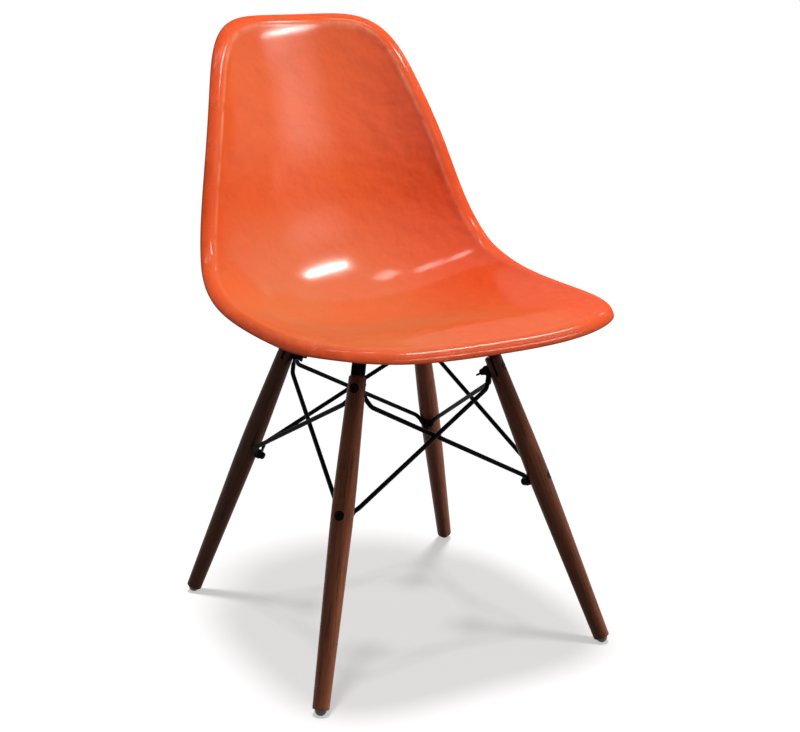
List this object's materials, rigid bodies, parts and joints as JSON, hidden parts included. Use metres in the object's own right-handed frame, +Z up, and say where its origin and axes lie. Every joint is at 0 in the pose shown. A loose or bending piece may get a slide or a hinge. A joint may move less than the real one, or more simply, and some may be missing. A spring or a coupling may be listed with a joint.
{
  "type": "shell dining chair",
  "caption": "Armless dining chair: a glossy one-piece moulded seat and back with a rolled rim, on splayed turned wood legs cross-braced with bent black metal rods.",
  "frame": {"origin": "on the floor, under the middle of the chair's overall box", "axes": "+Z up; the sitter faces -Y; +X is the sitter's left"},
  "size_m": [0.4683, 0.5432, 0.7991],
  "materials": {
    "shell": "glossy moulded fibreglass, orange",
    "wood": "dark walnut stain, low sheen, grain along the leg",
    "black_metal": "satin black",
    "rubber": "matt black rubber",
    "zinc_steel": "dull zinc",
    "glide_plastic": "black nylon"
  },
  "bodies": {
    "root": {"seat_shell": "shell", "leg_front_right": "wood", "upper_bolt_front_right": "black_metal", "lower_bolt_front_right": "black_metal", "cap_nut_front_right": "black_metal", "wing_nut_front_right": "black_metal", "bracket_front_right": "black_metal", "shock_mount_front_right": "rubber", "mount_insert_front_right": "zinc_steel", "shell_bolt_front_right": "black_metal", "glide_front_right": "glide_plastic", "leg_front_left": "wood", "upper_bolt_front_left": "black_metal", "lower_bolt_front_left": "black_metal", "cap_nut_front_left": "black_metal", "wing_nut_front_left": "black_metal", "bracket_front_left": "black_metal", "shock_mount_front_left": "rubber", "mount_insert_front_left": "zinc_steel", "shell_bolt_front_left": "black_metal", "glide_front_left": "glide_plastic", "leg_rear_left": "wood", "upper_bolt_rear_left": "black_metal", "lower_bolt_rear_left": "black_metal", "cap_nut_rear_left": "black_metal", "wing_nut_rear_left": "black_metal", "bracket_rear_left": "black_metal", "shock_mount_rear_left": "rubber", "mount_insert_rear_left": "zinc_steel", "shell_bolt_rear_left": "black_metal", "glide_rear_left": "glide_plastic", "leg_rear_right": "wood", "upper_bolt_rear_right": "black_metal", "lower_bolt_rear_right": "black_metal", "cap_nut_rear_right": "black_metal", "wing_nut_rear_right": "black_metal", "bracket_rear_right": "black_metal", "shock_mount_rear_right": "rubber", "mount_insert_rear_right": "zinc_steel", "shell_bolt_rear_right": "black_metal", "glide_rear_right": "glide_plastic", "strut_front_right_to_front_left": "black_metal", "strut_front_left_to_front_right": "black_metal", "strut_front_left_to_rear_left": "black_metal", "strut_rear_left_to_front_left": "black_metal", "strut_rear_left_to_rear_right": "black_metal", "strut_rear_right_to_rear_left": "black_metal", "strut_rear_right_to_front_right": "black_metal", "strut_front_right_to_rear_right": "black_metal", "shell_bolt_washers": "zinc_steel", "wing_nut_washers": "black_metal", "glide_nails": "zinc_steel"}
  },
  "joints": []
}
